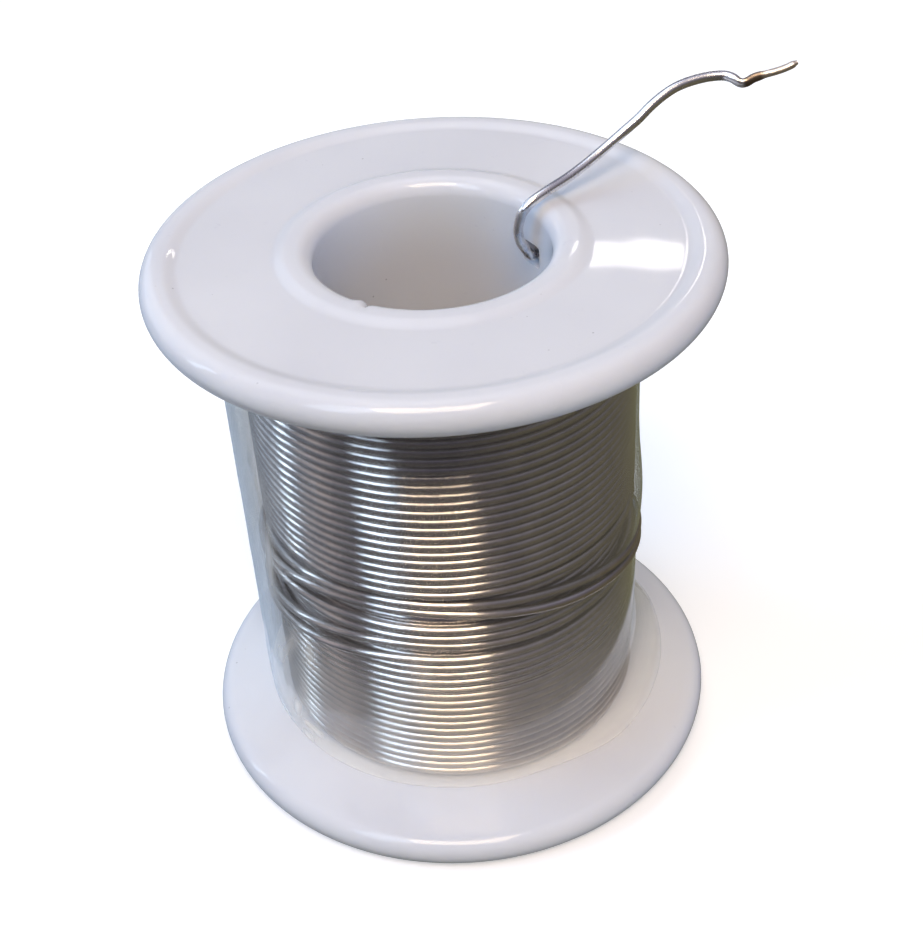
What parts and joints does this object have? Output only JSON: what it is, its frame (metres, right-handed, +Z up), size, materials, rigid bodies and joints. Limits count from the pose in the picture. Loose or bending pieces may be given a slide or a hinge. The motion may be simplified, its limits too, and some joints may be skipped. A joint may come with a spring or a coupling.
{
  "type": "solder wire spool",
  "caption": "Moulded plastic reel with two equal rounded flanges and a wide bore with rounded lips, wound with solder wire under a clear film, the wire's inner end bent up out of the bore.",
  "frame": {"origin": "on the reel's axis, at the level that the lower flange stands on", "axes": "+Z up along the reel's axis, from the lower flange to the flange that the wire end comes out over; the wire end leans out towards +X and +Y"},
  "size_m": [0.066, 0.056, 0.0677],
  "materials": {
    "reel": "white, slightly translucent moulded plastic with a soft gloss",
    "wire": "bright drawn solder wire, slightly dulled",
    "film": "clear shrink film"
  },
  "bodies": {
    "root": {"lower_reel_half": "reel", "upper_reel_half": "reel", "wire_layer_01": "wire", "wire_layer_02": "wire", "wire_layer_03": "wire", "wire_layer_04": "wire", "wire_layer_05": "wire", "wire_layer_06": "wire", "wire_layer_07": "wire", "wire_crossing_turns": "wire", "wire_tail": "wire", "shrink_film": "film"}
  },
  "joints": []
}
